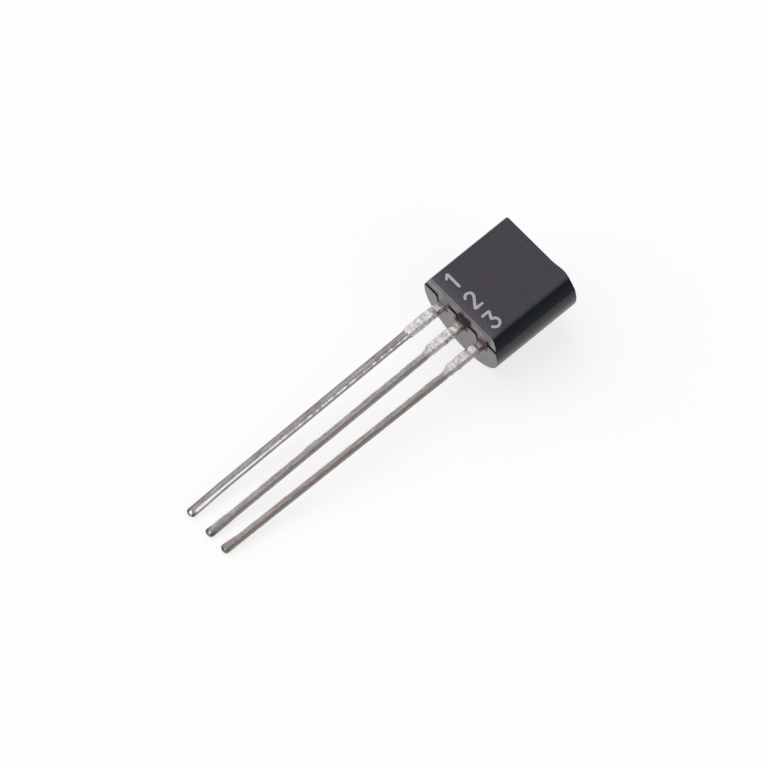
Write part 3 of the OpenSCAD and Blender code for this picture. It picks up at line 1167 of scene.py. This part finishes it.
def tinned_copper(lead, look):
    """Dull tin over copper, with solder on the root, and bare copper where the lead leaves the body."""
    n = new_material("tinned_" + lead["node"])
    place = n.part_place()
    beyond, to_tip, across = lead_directions(n, place, lead)
    tilt, ahead, _ = n.facing()
    grain = n.shifted(place, (look["seed"], 0, 0))
    streak = n.noise(grain, 17, detail=3, rough=0.65, stretch=(1, 0.07, 1))
    patch = n.noise(grain, 1.6, detail=5, rough=0.7)
    speck = n.noise(grain, 8, detail=3, rough=0.6)

    tin = dull_tin(n, look, grain, streak, patch, speck, tilt)
    if look["highlight_strip"]:
        tin = painted_highlight_strip(n, tin, look, grain, beyond, to_tip, across, tilt)
    tin = trimmed_tip(n, tin, look, to_tip, across, ahead)

    dip, fade, bare_end = look["dip"], look["fade"], look["bare"]
    edge = n.math("ADD", n.xyz(place)["Y"], n.span(speck, 0.3, 0.7, -0.1, 0.1))
    dipped = n.span(edge, -dip - fade, -dip + fade)
    colour = n.mix(dipped, tin, root_solder(n, look, patch, speck, tilt))
    crept = n.math("ADD", edge, n.span(tilt, 0.3, 0.7, 0, look["creep"]))
    bare = n.span(crept, -bare_end - 0.06, -bare_end + 0.06)
    rusty = n.mix(n.span(tilt, -0.2, -0.6, 0, 0.8), n.speckle(speck, RUSTY_DARK, RUSTY_LIGHT), RUSTY_LEFT)
    colour = n.mix(n.both(bare, 0.9), colour, rusty)

    rough = n.math("ADD", n.span(dipped, 0, 1, 0.40, 0.36), n.span(speck, 0.3, 0.7, -0.06, 0.08))
    height = n.mix(dipped, n.both(streak, 0.35), n.both(speck, 0.55))
    n.set(Base_Color=colour, Roughness=n.most(rough, n.both(bare, 0.7)), Metallic=n.span(bare, 0, 1, 1, 0.35))
    n.set(Normal=n.bump(height, 0.012, 0.7))
    return n.owner


def plain_metal(name, colour, rough, grain_scale):
    """A metal or crystal whose brightness and gloss vary a little over its grain."""
    n = new_material(name)
    grain = n.noise(n.part_place(), grain_scale, detail=3)
    dark = [channel * 0.85 for channel in colour]
    gloss = n.span(grain, 0.3, 0.7, rough * 0.8, rough * 1.2)
    n.set(Base_Color=n.mix(n.span(grain, 0.3, 0.7), dark, colour), Roughness=gloss, Metallic=1.0)
    return n.owner


def inner_pieces():
    """Finishes for the CAD nodes inside the moulding, which stay as they are."""
    gold = plain_metal("gold", (0.85, 0.60, 0.22), 0.25, 40)
    finishes = {
        "silicon_die": plain_metal("silicon", (0.16, 0.17, 0.19), 0.2, 12),
        "die_attach": plain_metal("solder", (0.62, 0.58, 0.52), 0.4, 14),
        "bond_wire_emitter": gold,
        "bond_wire_base": gold,
    }
    for node, material in finishes.items():
        slots = frame["nodes"][node].data.materials
        slots.clear()
        slots.append(material)


# ---- stage ----

VIEW_AZIMUTH = radians(45.53)
VIEW_ELEVATION = radians(58.22)
VIEW_ROLL = radians(4.35)
VIEW_TARGET = Vector((-0.039, 0.451, 1.853)) * MM
VIEW_DISTANCE = 297.8 * MM
VIEW_WIDTH = 32.413 * MM
SENSOR = 36
CLIP_START = 0.01
CLIP_END = 20

LAMP_DISTANCE = 0.5
# Each soft lamp's azimuth, elevation, side in metres, and how bright its face looks, where 1 is white
LAMPS = {
    "left_lamp": (radians(-45), radians(52), 0.66, 1.2),
    "top_lamp": (radians(-106), radians(67), 0.5, 1.2),
    "right_lamp": (radians(102), radians(44), 0.32, 1.4),
}

WHITE = (1, 1, 1)
PAPER = (0.93, 0.93, 0.93)
PAPER_ROUGH = 0.9
FLOOR_HALF = 3
FLOOR_GLOW = 0.76
# Between these distances the floor fades to pure white, so that it meets the white sky without a seam
FLOOR_FADE = (0.1, 0.4)

SKY = 0.28
HORIZON = 0.74
# Heights between which the sky fades from HORIZON to SKY
SKY_FADE = (0.05, 0.3)


def aimed(azimuth, elevation, distance, target=Vector(), roll=0):
    """The place and attitude of a camera or lamp that looks at target from a direction."""
    back = Vector((sin(azimuth) * cos(elevation), -cos(azimuth) * cos(elevation), sin(elevation)))
    turn = back.to_track_quat("Z", "Y").to_matrix() @ Matrix.Rotation(roll, 3, "Z")
    return Matrix.Translation(target + back * distance) @ turn.to_4x4()


def camera():
    data = bpy.data.cameras.new("camera")
    data.sensor_width = SENSOR
    data.lens = SENSOR * VIEW_DISTANCE / VIEW_WIDTH
    data.clip_start = CLIP_START
    data.clip_end = CLIP_END
    eye = in_scene("camera", data)
    eye.matrix_world = aimed(VIEW_AZIMUTH, VIEW_ELEVATION, VIEW_DISTANCE, VIEW_TARGET, VIEW_ROLL)
    bpy.context.scene.camera = eye


def softbox(name, azimuth, elevation, side, radiance):
    """A square soft lamp that faces the object."""
    data = bpy.data.lights.new(name, "AREA")
    data.shape = "SQUARE"
    data.size = side
    data.energy = radiance * pi * side * side
    in_scene(name, data).matrix_world = aimed(azimuth, elevation, LAMP_DISTANCE)


def white_paper():
    """Pale paper that keeps the object's shadow, and looks nearly white to the camera and in reflections."""
    n = new_material("white_paper")
    n.set(Base_Color=PAPER, Roughness=PAPER_ROUGH)
    path = n.add("ShaderNodeLightPath").outputs
    where = n.add("ShaderNodeTexCoord").outputs["Object"]
    away = n.add("ShaderNodeVectorMath", {0: where}, operation="LENGTH").outputs["Value"]
    seen = n.both(path["Is Camera Ray"], n.span(away, *FLOOR_FADE, FLOOR_GLOW, 1))
    mirrored = n.both(n.most(path["Is Glossy Ray"], path["Is Transmission Ray"]), FLOOR_GLOW)
    white = n.add("ShaderNodeEmission", {"Color": WHITE, "Strength": 1.0})
    lit = n.add("ShaderNodeMixShader", {0: n.most(seen, mirrored), 1: n.shader, 2: white})
    n.join(lit, n.tree.nodes["Material Output"].inputs["Surface"])
    return n.owner


def floor():
    bm = bmesh.new()
    bmesh.ops.create_grid(bm, x_segments=1, y_segments=1, size=FLOOR_HALF)
    ground = mesh_in_scene("floor", bm)
    ground.data.materials.append(white_paper())


def world():
    """A plain sky, palest at the horizon, where it meets the floor, and white to the camera."""
    n = Nodes(bpy.data.worlds.new("studio"), "Background")
    height = n.xyz(n.add("ShaderNodeTexCoord").outputs["Generated"])["Z"]
    seen = n.add("ShaderNodeLightPath").outputs["Is Camera Ray"]
    n.set(Color=WHITE, Strength=n.most(seen, n.span(height, *SKY_FADE, HORIZON, SKY)))
    bpy.context.scene.world = n.owner


# ---- the whole scene ----

bpy.context.scene.view_settings.view_transform = "Standard"

moulded_body()
for lead, look in zip(LEADS, LOOKS):
    lead_piece(lead, look)
pale_ink = ink()
for number, lead in enumerate(LEADS, 1):
    pin_number(number, lead, pale_ink)
inner_pieces()
camera()
for name, lamp in LAMPS.items():
    softbox(name, *lamp)
floor()
world()
